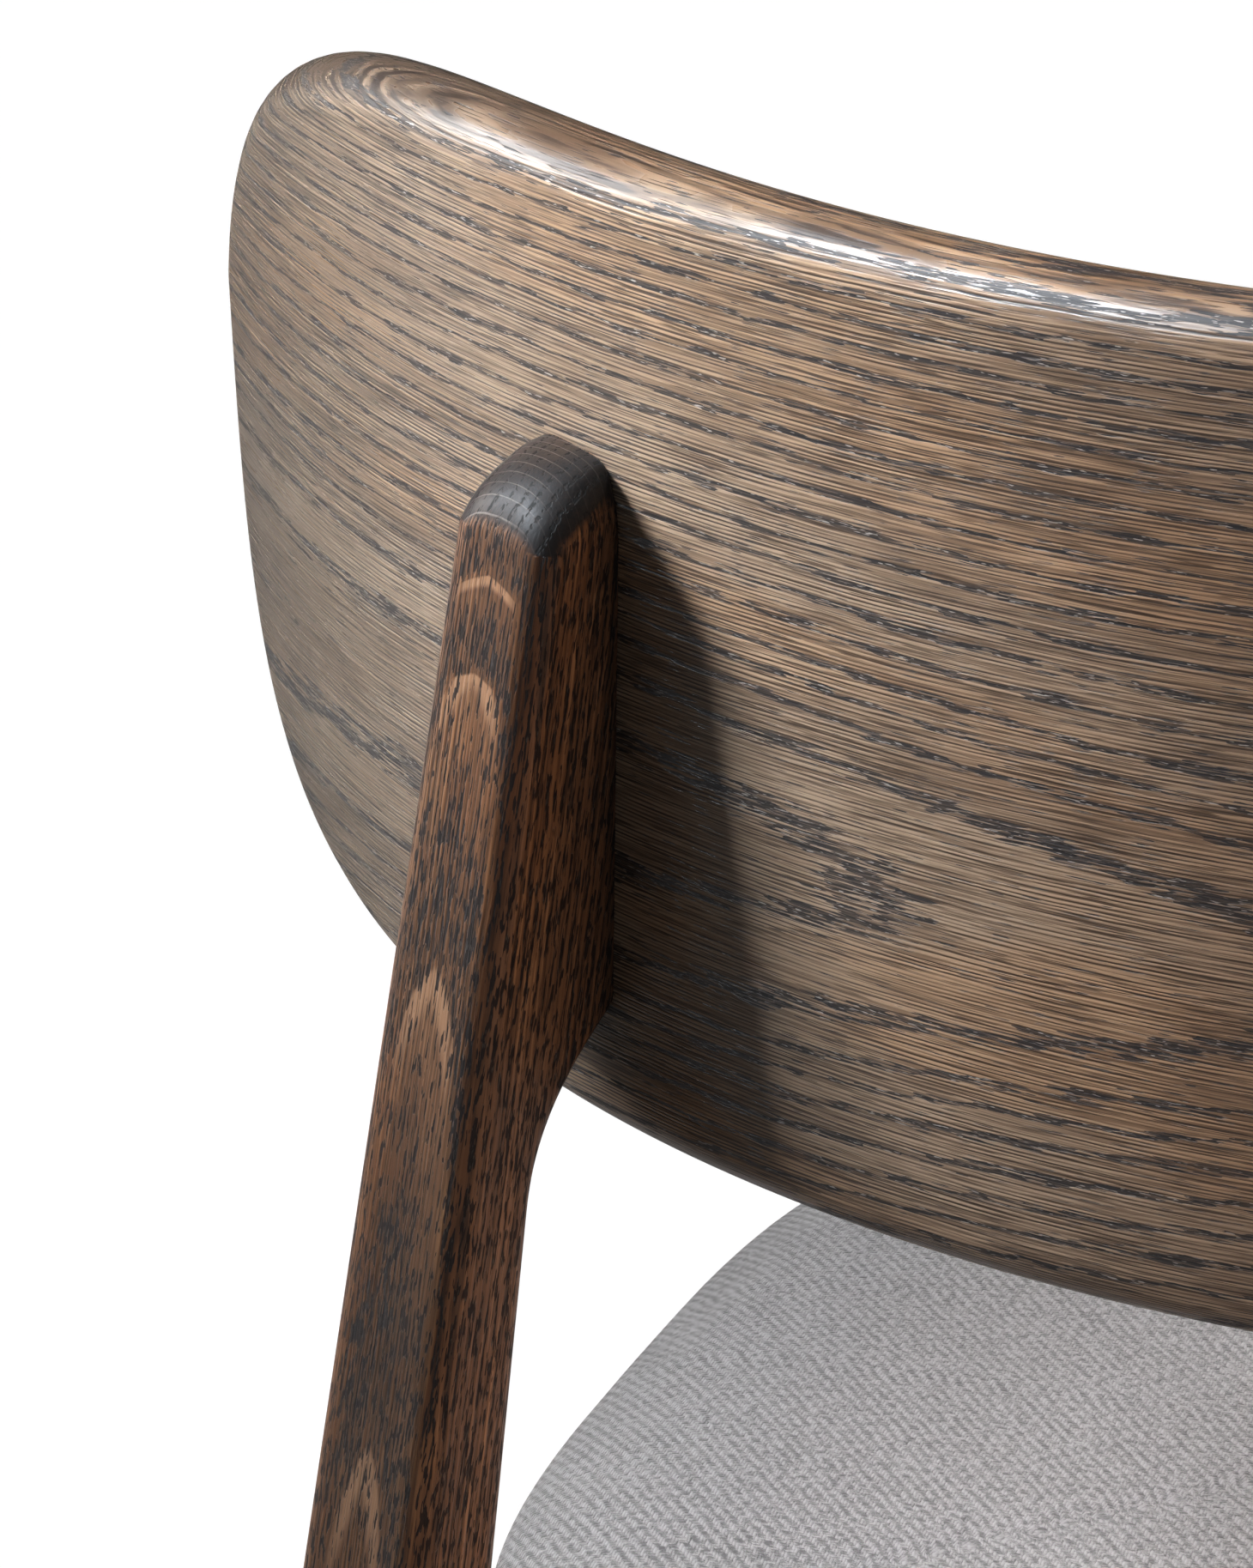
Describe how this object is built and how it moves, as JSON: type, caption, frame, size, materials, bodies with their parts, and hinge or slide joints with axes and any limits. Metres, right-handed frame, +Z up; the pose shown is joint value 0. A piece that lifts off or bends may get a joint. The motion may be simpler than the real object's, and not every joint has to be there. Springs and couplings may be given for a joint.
{
  "type": "dining chair",
  "caption": "Dining chair with a wide bent oak backrest carried by two round-ended rear posts, splayed legs and a round-cornered seat padded in woven fabric.",
  "frame": {"origin": "on the floor, at the middle of the chair's box", "axes": "+Z up, -Y the way the chair faces, X across the chair with the mirror plane at X = 0"},
  "size_m": [0.5482, 0.4733, 0.7989],
  "materials": {
    "oak": "smoked oak, satin lacquer",
    "oak_laminate": "smoked oak veneer on bent laminate, satin lacquer",
    "beech": "planed",
    "plywood": "sanded",
    "seat_fabric": "woven wool, light grey melange",
    "foam": "open-cell foam",
    "lining": "non-woven",
    "steel": "zinc plated",
    "glide_plastic": "matte"
  },
  "bodies": {
    "root": {"backrest": "oak_laminate", "rear_leg_right": "oak", "rear_leg_left": "oak", "front_leg_right": "oak", "front_leg_left": "oak", "front_rail": "oak", "rear_rail": "oak", "side_rail_right": "oak", "side_rail_left": "oak", "corner_block_front_right": "oak", "corner_block_front_left": "oak", "corner_block_rear_right": "oak", "corner_block_rear_left": "oak", "rail_dowels": "beech", "backrest_dowels": "beech", "block_screws": "steel", "seat_board": "plywood", "seat_foam": "foam", "seat_cover": "seat_fabric", "dust_cover": "lining", "seat_bolts": "steel", "seat_washers": "steel", "seat_tee_nuts": "steel", "foot_glides": "glide_plastic", "glide_nails": "steel"}
  },
  "joints": []
}
